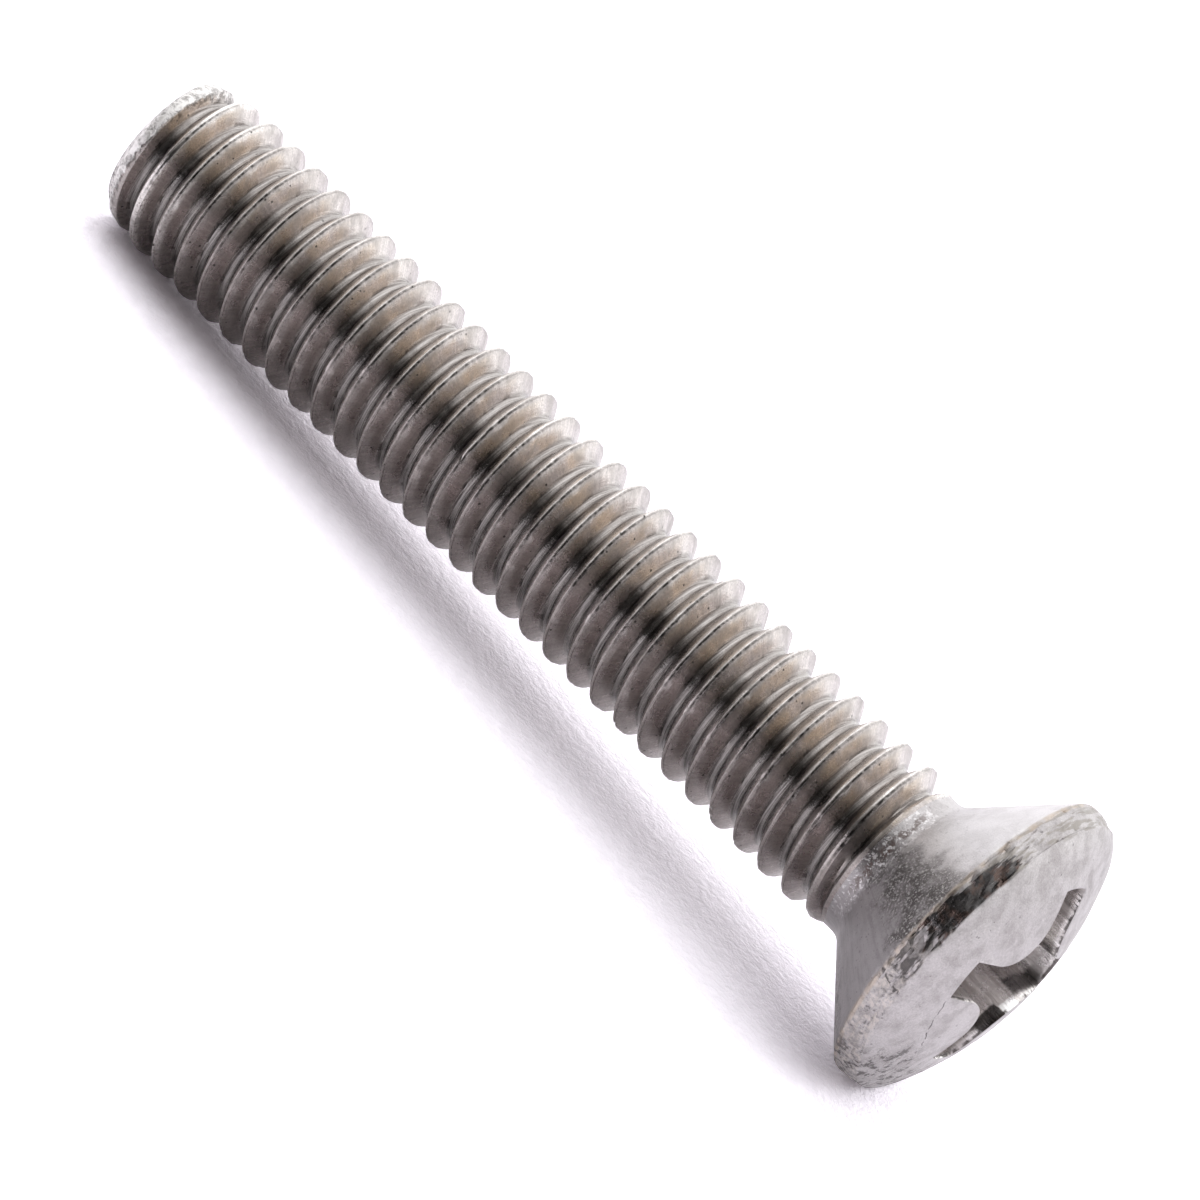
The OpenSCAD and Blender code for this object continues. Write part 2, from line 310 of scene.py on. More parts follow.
# Triangles between a row and one with twice as many columns.
def stepFaces(low, high):
    near, far = low[:-1], low[1:]
    start, middle, end = high[0:-1:2], high[1::2], high[2::2]
    return np.concatenate([np.stack(corners, axis=-1) for corners in (
        (near, far, middle), (near, middle, start), (far, end, middle))])


def addObject(name, data):
    thing = bpy.data.objects.new(name, data)
    bpy.context.scene.collection.objects.link(thing)
    return thing


# The whole skin of the screw as one closed mesh: tail face, helical shank, turned head and recess, with each
# vertex's own place on the screw kept in attributes for the materials.
def makeScrew():
    columns = screwMesh["columns"]
    hollow = shankWear["tailHollow"]
    shank, shankMarks, shankIndex = makeShank(columns)
    outside, inside, tip = makeHead(2 * columns)
    tailEdge = shank[shankIndex[0, :columns]]
    rings = np.linspace(1, 0, screwMesh["tailRings"] + 1)[1:-1, None, None]
    tail = tailEdge * rings
    tail[..., 2] = hollow * (1 - rings[..., 0])
    parts = [shank, tail.reshape(-1, 3), np.array([[0, 0, hollow]]), outside.reshape(-1, 3),
             inside.reshape(-1, 3), tip[None]]
    starts = np.cumsum([0] + [len(part) for part in parts])
    points = np.concatenate(parts)

    def closeRings(index):
        return np.concatenate([index, index[:, :1]], axis=1)

    def ringIndex(start, rings):
        return closeRings(start + np.arange(rings.shape[0] * rings.shape[1]).reshape(rings.shape[:2]))

    outRows = ringIndex(starts[3], outside)
    firstShank = closeRings(shankIndex[:1, :columns])
    lastShank = closeRings(shankIndex[-1:, :columns])[0]
    tailPole = np.full((1, columns + 1), starts[2])
    tipPole = np.full((1, 2 * columns + 1), starts[5])
    tailRows = np.concatenate([tailPole, ringIndex(starts[1], tail)[::-1], firstShank])
    recessRows = np.concatenate([outRows[-1:], ringIndex(starts[4], inside), tipPole])
    groups = [ringFaces(rows[:-1], rows[1:]) for rows in (tailRows, shankIndex, outRows, recessRows)]
    groups.append(stepFaces(lastShank, outRows[0]))
    faces = np.concatenate(groups)
    finish = np.repeat([0, 0, 1, 2, 1], [len(group) for group in groups])  # 0 thread, 1 head, 2 recess

    # rows that folded up on an edge share their places: merge them and drop the triangles they leave empty
    _, first, merged = np.unique(np.round(points, screwMesh["mergeDigits"]), axis=0,
                                 return_index=True, return_inverse=True)
    faces = merged.reshape(-1)[faces]
    kept = (faces[:, 0] != faces[:, 1]) & (faces[:, 1] != faces[:, 2]) & (faces[:, 2] != faces[:, 0])
    faces, finish, points = faces[kept], finish[kept], points[first]
    marks = np.zeros((3, starts[-1]))
    marks[:, :starts[1]] = shankMarks
    marks = marks[:, first]

    lean = radians(screwRest["lean"])
    x = points[:, 0] * sin(lean) + points[:, 2] * cos(lean) - screwRest["middle"]
    z = points[:, 2] * sin(lean) - points[:, 0] * cos(lean) + screwRest["floorHeight"]
    placed = np.stack([x, points[:, 1], z], axis=-1) / 1000
    corners = placed[faces]
    volume = np.einsum("ij,ij->i", corners[:, 0], np.cross(corners[:, 1], corners[:, 2])).sum() / 6
    if volume < 0:
        faces = faces[:, ::-1]
    mesh = bpy.data.meshes.new("screw skin")
    mesh.from_pydata(placed.tolist(), [], faces.tolist())
    mesh.polygons.foreach_set("material_index", finish.astype(np.int32))
    mesh.polygons.foreach_set("use_smooth", np.ones(len(faces), dtype=bool))

    radius = np.maximum(np.hypot(points[:, 0], points[:, 1]), 1e-6)
    turned = np.stack([points[:, 2], points[:, 0] / radius, points[:, 1] / radius], axis=-1)
    for name, kind, values in (("bench", "FLOAT_VECTOR", points), ("turned", "FLOAT_VECTOR", turned),
                               ("groove", "FLOAT", marks[0]), ("crest", "FLOAT", marks[1]),
                               ("seam", "FLOAT", marks[2])):
        attribute = mesh.attributes.new(name, kind, "POINT")
        attribute.data.foreach_set("vector" if kind == "FLOAT_VECTOR" else "value", values.ravel())
    mesh.set_sharp_from_angle(angle=radians(screwMesh["sharpAngle"]))
    mesh.update()
    print("screw skin:", len(points), "vertices,", len(faces), "triangles,",
          "volume %.1f mm3" % (abs(volume) * 1e9))
    screw = addObject("screwSkin", mesh)
    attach(screw, "root")
    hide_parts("screw")
    return screw


screw = makeScrew()


# A shader node with its settings; each input takes a value or another node's output.
def addNode(tree, kind, inputs=None, **settings):
    node = tree.nodes.new("ShaderNode" + kind)
    for name, value in settings.items():
        setattr(node, name, value)
    for name, value in (inputs or {}).items():
        if isinstance(value, bpy.types.NodeSocket):
            tree.links.new(value, node.inputs[name])
        else:
            node.inputs[name].default_value = value
    return node


def calculate(tree, operation, first, second=0.0, clamp=False):
    return addNode(tree, "Math", {0: first, 1: second}, operation=operation, use_clamp=clamp).outputs[0]


# Product of masks and shares.
def times(tree, *masks):
    total = masks[0]
    for mask in masks[1:]:
        total = calculate(tree, "MULTIPLY", total, mask)
    return total


def plus(tree, *terms):
    total = terms[0]
    for term in terms[1:]:
        total = calculate(tree, "ADD", total, term)
    return total


def minus(tree, first, second):
    return calculate(tree, "SUBTRACT", first, second)


# Noise that swings about 0, by half of amount to each side.
def swing(tree, noise, amount):
    return times(tree, minus(tree, noise, 0.5), amount)


# Colour first turning into colour second as share goes from 0 to 1.
def blend(tree, share, first, second):
    node = addNode(tree, "Mix", {0: share, 6: first, 7: second}, data_type="RGBA")
    return node.outputs[2]


# A colour laid over another where all the masks are 1.
def paint(tree, under, over, *masks):
    return blend(tree, times(tree, *masks), under, over)


def brighten(tree, colour, factor):
    return addNode(tree, "VectorMath", {0: colour, "Scale": factor}, operation="SCALE").outputs[0]


def stretch(tree, place, scales):
    return addNode(tree, "VectorMath", {0: place, 1: scales}, operation="MULTIPLY").outputs[0]


# Value taken smoothly from the range low to high into the range start to end.
def remap(tree, value, low, high, start=0.0, end=1.0):
    return addNode(tree, "MapRange", {"Value": value, "From Min": low, "From Max": high, "To Min": start,
                                      "To Max": end}, interpolation_type="SMOOTHSTEP").outputs["Result"]


def readPlace(tree, name):
    output = "Vector" if name in ("bench", "turned") else "Fac"
    return addNode(tree, "Attribute", attribute_name=name).outputs[output]


def makeNoise(tree, place, scale, detail=3.0, roughness=0.55, distortion=0.0):
    return addNode(tree, "TexNoise", {"Vector": place, "Scale": scale, "Detail": detail,
                                      "Roughness": roughness, "Distortion": distortion}).outputs["Fac"]


# Noise remapped to marks, over the screw's own millimetres, or over its height and turn at the given scale.
def specks(tree, marks, turnedScale=None, place=None):
    noise, limits = marks
    if turnedScale:
        place = stretch(tree, readPlace(tree, "turned"), turnedScale)
    return remap(tree, makeNoise(tree, place or readPlace(tree, "bench"), *noise), *limits)


# An empty node group with named sockets: colours are given as RGBA tuples, values as numbers.
def startGroup(name, inputs, outputs):
    tree = bpy.data.node_groups.new(name, "ShaderNodeTree")
    for socketName, value in inputs.items():
        kind = "NodeSocketColor" if isinstance(value, tuple) else "NodeSocketFloat"
        tree.interface.new_socket(socketName, in_out="INPUT", socket_type=kind).default_value = value
    for socketName, kind in outputs.items():
        tree.interface.new_socket(socketName, in_out="OUTPUT", socket_type="NodeSocket" + kind)
    return tree, tree.nodes.new("NodeGroupInput").outputs, tree.nodes.new("NodeGroupOutput").inputs


def useGroup(tree, group, **inputs):
    node = addNode(tree, "Group", node_tree=group)
    for name, value in inputs.items():
        socket = node.inputs[name[0].upper() + name[1:]]
        if isinstance(value, bpy.types.NodeSocket):
            tree.links.new(value, socket)
        else:
            socket.default_value = value
    return node.outputs


# 1 where Value lies between Low and High, falling smoothly to 0 over the width Soft.
def makeZoneGroup():
    tree, given, result = startGroup("zone", {"Value": 0.0, "Low": 0.0, "High": 1.0, "Soft": 0.1},
                                     {"Mask": "Float"})
    half = times(tree, given["Soft"], 0.5)
    ends = [(minus(tree, given[end], half), plus(tree, given[end], half)) for end in ("Low", "High")]
    rise = remap(tree, given["Value"], *ends[0])
    fall = remap(tree, given["Value"], *ends[1], 1.0, 0.0)
    tree.links.new(times(tree, rise, fall), result["Mask"])
    return tree


# Fine lines that run round the screw: noise squeezed along its axis. Rings and Around are lines per mm.
def makeStreakGroup():
    tree, given, result = startGroup("turned streaks", {"Rings": 30.0, "Around": 1.5, "Contrast": 0.2},
                                     {"Streak": "Float"})
    scale = addNode(tree, "CombineXYZ", {"X": given["Rings"], "Y": given["Around"], "Z": given["Around"]})
    noise = makeNoise(tree, stretch(tree, readPlace(tree, "turned"), scale.outputs[0]), 1.0, 3.0, 0.6)
    low, high = minus(tree, 0.5, given["Contrast"]), plus(tree, 0.5, given["Contrast"])
    tree.links.new(remap(tree, noise, low, high), result["Streak"])
    return tree


# Lines drawn along the screw: far finer round it than along it
drawnScale = (1.5, 24.0, 24.0)
# Old steel's own pattern. Here and below, specks are a noise (scale per millimetre, detail, roughness,
# distortion) and the range that it is remapped from, and to.
oldSteel = {
    "cloudSpecks": ((1.9, 4.0, 0.65, 0.25), (0.38, 0.68)), "grainNoise": (26.0, 2.0, 0.75),
    "grainDepth": 3.0, "pitScale": 5.5, "pitPick": (0.62, 1.0), "pitSize": 0.2, "pitRagged": 0.12,
    "pitEdge": (0.05, 0.0), "pit": (0.03, 0.027, 0.025, 1),
}


# Old steel: clouds of stain over a base colour, fine grain, and small black pits.
def makeSteelGroup():
    look = oldSteel
    tree, given, result = startGroup(
        "old steel",
        {"Base": (0.5, 0.5, 0.5, 1), "Stain": (0.3, 0.3, 0.3, 1), "Clouds": 0.5, "Grain": 0.3, "Pits": 0.2},
        {"Color": "Color", "Cloud": "Float", "Height": "Float"})
    bench = readPlace(tree, "bench")
    clouds = specks(tree, look["cloudSpecks"])
    grain = makeNoise(tree, bench, *look["grainNoise"])
    colour = paint(tree, given["Base"], given["Stain"], clouds, given["Clouds"])
    shade = times(tree, swing(tree, grain, given["Grain"]), look["grainDepth"])
    colour = brighten(tree, colour, plus(tree, shade, 1.0))
    cells = addNode(tree, "TexVoronoi", {"Vector": bench, "Scale": look["pitScale"], "Randomness": 1.0})
    cellPick = addNode(tree, "SeparateColor", {0: cells.outputs["Color"]}).outputs[0]
    size = times(tree, remap(tree, cellPick, *look["pitPick"]), look["pitSize"])
    edge = plus(tree, cells.outputs["Distance"], times(tree, grain, look["pitRagged"]))
    pit = times(tree, remap(tree, minus(tree, edge, size), *look["pitEdge"]), given["Pits"])
    tree.links.new(paint(tree, colour, look["pit"], pit), result["Color"])
    tree.links.new(clouds, result["Cloud"])
    tree.links.new(minus(tree, grain, pit), result["Height"])
    return tree


zoneGroup = makeZoneGroup()
streakGroup = makeStreakGroup()
steelGroup = makeSteelGroup()


def zone(tree, value, low, high, soft):
    return useGroup(tree, zoneGroup, value=value, low=low, high=high, soft=soft)["Mask"]


def streaks(tree, rings, around):
    return useGroup(tree, streakGroup, rings=rings, around=around, contrast=0.2)["Streak"]


def startMaterial(name, thing):
    material = bpy.data.materials.new(name)
    material.use_nodes = True
    thing.data.materials.append(material)
    return material.node_tree, material.node_tree.nodes["Principled BSDF"]


def startSteel(name):
    tree, shader = startMaterial(name, screw)
    shader.inputs["Metallic"].default_value = 1
    return tree, shader


# Depth is that of the relief, in metres, for a height of 1.
def finishSteel(tree, shader, colour, roughness, height, depth):
    bump = addNode(tree, "Bump", {"Height": height, "Distance": depth, "Strength": 1.0})
    tree.links.new(colour, shader.inputs["Base Color"])
    tree.links.new(roughness, shader.inputs["Roughness"])
    tree.links.new(bump.outputs[0], shader.inputs["Normal"])


# Height along the screw, side angle, how far up a point looks, and distance from the axis, in mm and degrees.
# The side angle is arctangent(-x, -y), 0 towards the camera and 90 on top. It jumps at the back of the screw,
# so what runs past the back reads up = arcsine(-x / radius).
def readMarks(tree):
    turned = addNode(tree, "SeparateXYZ", {0: readPlace(tree, "turned")}).outputs
    up = times(tree, calculate(tree, "ARCSINE", turned[1]), -180 / pi)
    back = [times(tree, turned[axis], -1.0) for axis in (1, 2)]
    side = times(tree, calculate(tree, "ARCTAN2", *back), 180 / pi)
    bench = addNode(tree, "SeparateXYZ", {0: readPlace(tree, "bench")}).outputs
    across = addNode(tree, "CombineXYZ", {"X": bench[0], "Y": bench[1]}).outputs[0]
    reach = addNode(tree, "VectorMath", {0: across}, operation="LENGTH").outputs["Value"]
    return turned[0], side, up, reach


# Thread: bright worn crests, warm grey flanks with tan stains, dark roots, a rough pale band at the tail,
# painted shade low on the screw and in the roots on the side of the camera, and a painted highlight on top.
# Depth goes from 0 on the crest to 1 in the root, sides and ups are degrees, and a third value is softness.
threadLook = {
    "crest": (0.90, 0.86, 0.84, 1), "flank": (0.54, 0.497, 0.483, 1), "shadedLowFlank": (0.335, 0.295, 0.285, 1),
    "root": (0.185, 0.164, 0.155, 1), "rootLine": (0.31, 0.29, 0.28, 1), "lowRootShade": (0.058, 0.053, 0.051, 1),
    "nearRootShade": (0.035, 0.032, 0.03, 1), "tan": (0.56, 0.475, 0.395, 1), "stain": (0.27, 0.245, 0.23, 1),
    "seam": (0.025, 0.022, 0.02, 1), "tailBand": (0.82, 0.80, 0.79, 1), "tailSpeckle": (0.34, 0.325, 0.32, 1),
    "tailDots": (0.06, 0.05, 0.045, 1),
    "speckleNoise": (14.0, 2.0, 0.7), "crestSpeckle": (0.25, 0.6, 0.6, 1.0),
    "bluntSpeckle": (0.3, 0.5, 0.0, 0.8), "drawnSpecks": ((1.0, 3.0, 0.65), (0.3, 0.7, 0.82, 1.12)),
    "flankShadeUps": (-15, 45), "lowShadeUps": (27, 11), "lowCrestShade": 0.66, "topHighlightUps": (62, 90, 0.0, 0.2),
    "bluntHeights": (0.5, 1.9, 0.5), "bluntDepths": (0.36, 0.16),
    "rootDepths": (0.7, 0.95), "rootLineDepths": (0.975, 0.998), "lowRootShadeShare": 0.85,
    "nearShadeSides": (0, 38, 14), "nearShadeShare": 0.6,
    "patchSpecks": ((1.3, 3.0, 0.6), (0.36, 0.62, 0.0, 0.85)), "tanSides": (22, 80, 30),
    "tanDepths": (0.15, 0.85, 0.25),
    "pattern": {"clouds": 0.5, "grain": 0.34, "pits": 0.9}, "streaks": (40.0, 0.8),
    "streakShade": (0.6, 0.97, 0.05, 0.3), "streakRelief": (0.6, 0.97, 0.15, 0.8),
    "nickSpecks": ((7.5, 3.0, 0.7), (0.42, 0.56)), "seamLeast": 0.6,
    "seamLow": (-14, 10, 0.15, 1.0), "seamHigh": (45, 90, 1.0, 0.35),
    "raggedNoise": (5.0, 2.0), "ragged": 0.22, "bandHeights": (-1.0, 0.46, 0.05),
    "dotHeights": (0.43, 0.52, 0.05), "dotShare": 0.6,
    "bandSpecks": ((7.0, 4.0, 0.75), (0.36, 0.56)), "bandFace": (0.0, 0.03, 0.35, 1.0),
    "roughDepths": (0.03, 0.12), "crestRoughness": 0.2, "flankRoughness": 0.25, "rootPolish": -0.07,
    "cloudRoughness": 0.1, "bandRoughness": 0.12, "relief": 0.000005,
}


def makeThreadSteel():
    look = threadLook
    tree, shader = startSteel("threadSteel")
    height, side, up, _ = readMarks(tree)
    groove = readPlace(tree, "groove")
    bench = readPlace(tree, "bench")
    # flanks with fine lines drawn up them, painted darker low on the screw as shade, under bright crests
    base = blend(tree, remap(tree, up, *look["flankShadeUps"]), look["shadedLowFlank"], look["flank"])
    base = brighten(tree, base, specks(tree, look["drawnSpecks"], drawnScale))
    # painted shade low on the screw: it dims the crests and darkens the roots there
    lowShade = remap(tree, up, *look["lowShadeUps"])
    speckles = makeNoise(tree, bench, *look["speckleNoise"])
    crestShadeFactor = minus(tree, 1.0, times(tree, lowShade, look["lowCrestShade"]))
    # painted highlight: the pale crest colour laid over the top of the screw
    base = paint(tree, base, look["crest"], remap(tree, up, *look["topHighlightUps"]))
    base = paint(tree, base, look["crest"], readPlace(tree, "crest"),
                 remap(tree, speckles, *look["crestSpeckle"]), crestShadeFactor)
    base = paint(tree, base, look["crest"], zone(tree, height, *look["bluntHeights"]),
                 remap(tree, groove, *look["bluntDepths"]), remap(tree, speckles, *look["bluntSpeckle"]))
    # dark roots with a paler line at the bottom, with painted shade that makes them darkest low on the screw
    # and on the side of the camera
    inRoot = remap(tree, groove, *look["rootDepths"])
    base = paint(tree, base, look["root"], inRoot)
    base = paint(tree, base, look["rootLine"], remap(tree, groove, *look["rootLineDepths"]))
    base = paint(tree, base, look["lowRootShade"], lowShade, inRoot, look["lowRootShadeShare"])
    base = paint(tree, base, look["nearRootShade"], inRoot, zone(tree, side, *look["nearShadeSides"]),
                 look["nearShadeShare"])
    base = paint(tree, base, look["tan"], zone(tree, side, *look["tanSides"]),
                 zone(tree, groove, *look["tanDepths"]), specks(tree, look["patchSpecks"]))
    steel = useGroup(tree, steelGroup, base=base, stain=look["stain"], **look["pattern"])
    lines = streaks(tree, *look["streaks"])
    colour = paint(tree, steel["Color"], look["crest"], lines, remap(tree, groove, *look["streakShade"]))
    # black nicks along the seam of the crest
    nicks = specks(tree, look["nickSpecks"])
    seamShade = plus(tree, times(tree, nicks, 1 - look["seamLeast"]), look["seamLeast"])
    colour = paint(tree, colour, look["seam"], readPlace(tree, "seam"), seamShade,
                   remap(tree, up, *look["seamLow"]), remap(tree, up, *look["seamHigh"]))
    # rough pale band at the tail, with a dotted dark line where the thread begins
    ragged = plus(tree, height, times(tree, makeNoise(tree, bench, *look["raggedNoise"]), look["ragged"]))
    tailMask = zone(tree, ragged, *look["bandHeights"])
    speckle = times(tree, specks(tree, look["bandSpecks"]), remap(tree, height, *look["bandFace"]))
    colour = paint(tree, colour, blend(tree, speckle, look["tailSpeckle"], look["tailBand"]), tailMask)
    colour = paint(tree, colour, look["tailDots"], zone(tree, ragged, *look["dotHeights"]), nicks,
                   look["dotShare"])
    roughness = remap(tree, groove, *look["roughDepths"], look["crestRoughness"], look["flankRoughness"])
    roughness = plus(tree, roughness, times(tree, inRoot, look["rootPolish"]),
                     times(tree, steel["Cloud"], look["cloudRoughness"]),
                     times(tree, tailMask, look["bandRoughness"]))
    relief = plus(tree, steel["Height"], times(tree, lines, remap(tree, groove, *look["streakRelief"])),
                  times(tree, tailMask, speckle, plus(tree, speckle, 1.0)))
    finishSteel(tree, shader, colour, roughness, relief, look["relief"])


# Head: pale grey dome, speckled cone with painted shade on its lower near side and a painted highlight high
# on it, rim with a black smear, tan edge line painted as a highlight, torn streaks and pits
headLook = {
    "steel": (0.475, 0.452, 0.458, 1), "stain": (0.36, 0.336, 0.339, 1), "scale": (0.12, 0.11, 0.109, 1),
    "coneShade": (0.37, 0.351, 0.357, 1), "cream": (0.74, 0.67, 0.62, 1), "pale": (0.79, 0.77, 0.78, 1),
    "tan": (0.55, 0.45, 0.36, 1), "smear": (0.09, 0.086, 0.086, 1), "rust": (0.12, 0.088, 0.078, 1),
    "crumbs": (0.62, 0.6, 0.59, 1), "torn": (0.31, 0.288, 0.27, 1), "smudge": (0.06, 0.055, 0.055, 1),
    "crack": (0.05, 0.045, 0.045, 1),
    "pattern": {"clouds": 0.8, "grain": 0.26, "pits": 0.4}, "streaks": (9.0, 5.0), "fineStreaks": (34.0, 9.0),
    "coneHeights": (21.5, rimStart, 0.08), "bandHeights": (rimStart, 24.56, 0.06), "bandReach": (3.3, 3.4),
    "wanderNoise": (2.2, 4.0), "wander": 34.0,
    "strokeSpecks": ((1.0, 3.0, 0.6), (0.42, 0.68, 0.0, 0.3)),
    "coneShadeUps": (-28, -52), "coneSides": (-75, 12, 22), "coneShare": 0.85,
    "pinholeSpecks": ((12.0, 2.0, 0.6), (0.64, 0.7, 0.0, 0.6)),
    "paleHighlightUps": (30, 50), "paleHighlightHeights": (22.2, 23.3, 0.15, 0.55),
    "scaleSides": (4, 35, 14), "crumbSpecks": ((17.0, 3.0, 0.8), (0.52, 0.64)),
    "thickSpecks": ((2.2, 3.0, 0.65), (0.3, 0.6, 0.4, 1.0)),
    "neckRagged": 0.05, "neckHeights": (21.93, 22.13, 0.1), "neckSides": (-8, 62, 24),
    "neckSpecks": ((7.0, 3.0, 0.7), (0.54, 0.44, 0.0, 0.75)),
    "brightHeights": (21.6, 22.3, 0.2), "brightSides": (-30, 70, 30),
    "brightSpecks": ((9.0, 2.0, 0.8), (0.55, 0.62, 0.0, 0.7)),
    "tornRange": (0.25, 0.75), "tornUps": (-20, 45, 0.35, 1.0),
    "crustSides": (-130, 6, 20), "mottleNoise": (8.0, 3.0, 0.7), "creamRange": (0.45, 0.6, 0.0, 0.45),
    "crustPits": (0.42, 0.34, 0.0, 0.6),
    "tanHighlightHeights": (rimStart - 0.02, rimStart + 0.09, 0.05), "tanHighlightSpecks": ((2.5, 3.0), (0.35, 0.6, 0.05, 0.5)),
    "smearSides": (13.0, 51.0, 3.0), "smearStart": 14.0, "smearClimb": 0.0062, "smearLow": (23.97, 24.03),
    "smearFray": 0.14, "smearSideFray": 9.0, "chipRange": (0.93, 1.0, 1.0, 0.5),
    "smearSpecks": ((3.0, 3.0), (0.46, 0.6)),
    "smudgeSides": [(1.5, 8, 4), (-7, -4, 2)], "smudgeRange": (0.35, 0.6, 0.0, 0.8),
    "lowSides": (-115, -37, 18), "lowReach": (2.1, 2.8), "pockSpecks": ((4.6, 4.0, 0.75), (0.48, 0.6)),
    "crackReach": 2.565, "crackHalf": 0.014, "crackDrift": 0.0033, "crackNoise": (3.5, 2.0),
    "crackWander": 0.16,
    "crackSides": (-42, -6, 6), "crackHeights": (24.6, 24.7), "gapSpecks": ((5.0, 1.0), (0.42, 0.5)),
    "crackShare": 0.7,
    "roughness": 0.33, "cloudRoughness": 0.12, "smearPolish": -0.1, "scaleRelief": 1.2, "bandRelief": 1.5,
    "pockRelief": -2.0, "crackRelief": -2.0, "crustRelief": 1.5, "relief": 0.000010,
}


def makeHeadSteel():
    look = headLook
    tree, shader = startSteel("headSteel")
    height, side, up, reach = readMarks(tree)
    bench = readPlace(tree, "bench")
    lines = streaks(tree, *look["streaks"])
    fine = streaks(tree, *look["fineStreaks"])
    steel = useGroup(tree, steelGroup, base=look["steel"], stain=look["stain"], **look["pattern"])
    colour = steel["Color"]
    onCone = zone(tree, height, *look["coneHeights"])
    onBand = times(tree, zone(tree, height, *look["bandHeights"]), remap(tree, reach, *look["bandReach"]))
    wander = swing(tree, makeNoise(tree, bench, *look["wanderNoise"]), look["wander"])
    roughSide = plus(tree, side, wander)
    roughUp = plus(tree, up, wander)
    # painted shade: a darker grey on the lower near side of the cone, with strokes that run up it; painted
    # highlight: pale grey high on it
    coneShadedColour = blend(tree, remap(tree, up, *look["coneShadeUps"]), look["coneShade"], look["steel"])
    coneShadedColour = paint(tree, coneShadedColour, look["scale"], specks(tree, look["strokeSpecks"], drawnScale))
    colour = paint(tree, colour, coneShadedColour, onCone, zone(tree, roughSide, *look["coneSides"]),
                   look["coneShare"])
    colour = paint(tree, colour, look["scale"], onCone, specks(tree, look["pinholeSpecks"]))
    colour = paint(tree, colour, look["pale"], onCone, remap(tree, roughUp, *look["paleHighlightUps"]),
                   remap(tree, height, *look["paleHighlightHeights"]))
    # dark scale with bright crumbs on the near side of the cone: real scale, made darker there as painted
    # shade
    scaleAndShadeMask = times(tree, onCone, zone(tree, roughSide, *look["scaleSides"]))
    crumbs = specks(tree, look["crumbSpecks"])
    thick = specks(tree, look["thickSpecks"])
    colour = paint(tree, colour, blend(tree, crumbs, look["scale"], look["crumbs"]), scaleAndShadeMask, thick)
    # dark and pale cells on the neck
    ragged = plus(tree, height, times(tree, crumbs, look["neckRagged"]))
    for name, over in (("neck", look["rust"]), ("bright", look["pale"])):
        colour = paint(tree, colour, over, zone(tree, ragged, *look[name + "Heights"]),
                       zone(tree, side, *look[name + "Sides"]), specks(tree, look[name + "Specks"]))
    # torn streaks on the rim
    colour = paint(tree, colour, look["torn"], onBand, remap(tree, lines, *look["tornRange"]),
                   remap(tree, up, *look["tornUps"]))
    # cream crust with small pits along the lower part of the rim, and a tan line along its lower edge,
    # painted as a highlight
    crust = times(tree, onBand, zone(tree, roughSide, *look["crustSides"]))
    mottle = makeNoise(tree, bench, *look["mottleNoise"])
    colour = paint(tree, colour, look["cream"], crust, remap(tree, mottle, *look["creamRange"]))
    colour = paint(tree, colour, look["scale"], crust, remap(tree, mottle, *look["crustPits"]))
    colour = paint(tree, colour, look["tan"], zone(tree, height, *look["tanHighlightHeights"]),
                   specks(tree, look["tanHighlightSpecks"]))
    # black smear: its lower border climbs with the side angle, so it ends in a point
    climb = times(tree, minus(tree, side, look["smearStart"]), -look["smearClimb"])
    border = plus(tree, height, climb, swing(tree, lines, look["smearFray"]))
    frayedSide = plus(tree, side, swing(tree, lines, look["smearSideFray"]))
    smear = times(tree, onBand, remap(tree, border, *look["smearLow"]),
                  zone(tree, frayedSide, *look["smearSides"]))
    rusty = specks(tree, look["smearSpecks"])
    colour = paint(tree, colour, blend(tree, rusty, look["smear"], look["rust"]), smear,
                   remap(tree, fine, *look["chipRange"]))
    smudges = [zone(tree, roughSide, *sides) for sides in look["smudgeSides"]]
    colour = paint(tree, colour, look["smudge"], onBand, calculate(tree, "ADD", *smudges, True),
                   remap(tree, lines, *look["smudgeRange"]))
    # grime in the pits low on the dome, and a broken crack beside the recess
    pocks = times(tree, zone(tree, side, *look["lowSides"]), remap(tree, reach, *look["lowReach"]),
                  specks(tree, look["pockSpecks"]))
    colour = paint(tree, colour, look["scale"], pocks)
    away = plus(tree, reach, times(tree, side, -look["crackDrift"]),
                times(tree, makeNoise(tree, bench, *look["crackNoise"]), look["crackWander"]))
    half = look["crackHalf"]
    crack = times(tree, zone(tree, away, look["crackReach"] - half, look["crackReach"] + half, half),
                  zone(tree, side, *look["crackSides"]), remap(tree, height, *look["crackHeights"]),
                  specks(tree, look["gapSpecks"]))
    colour = paint(tree, colour, look["crack"], crack, look["crackShare"])
    roughness = plus(tree, times(tree, steel["Cloud"], look["cloudRoughness"]), look["roughness"],
                     times(tree, smear, look["smearPolish"]))
    relief = steel["Height"]
    for name, *masks in (("scale", scaleAndShadeMask, crumbs), ("band", onBand, lines), ("pock", pocks),
                         ("crack", crack), ("crust", crust, mottle)):
        relief = plus(tree, relief, times(tree, *masks, look[name + "Relief"]))
    finishSteel(tree, shader, colour, roughness, relief, look["relief"])


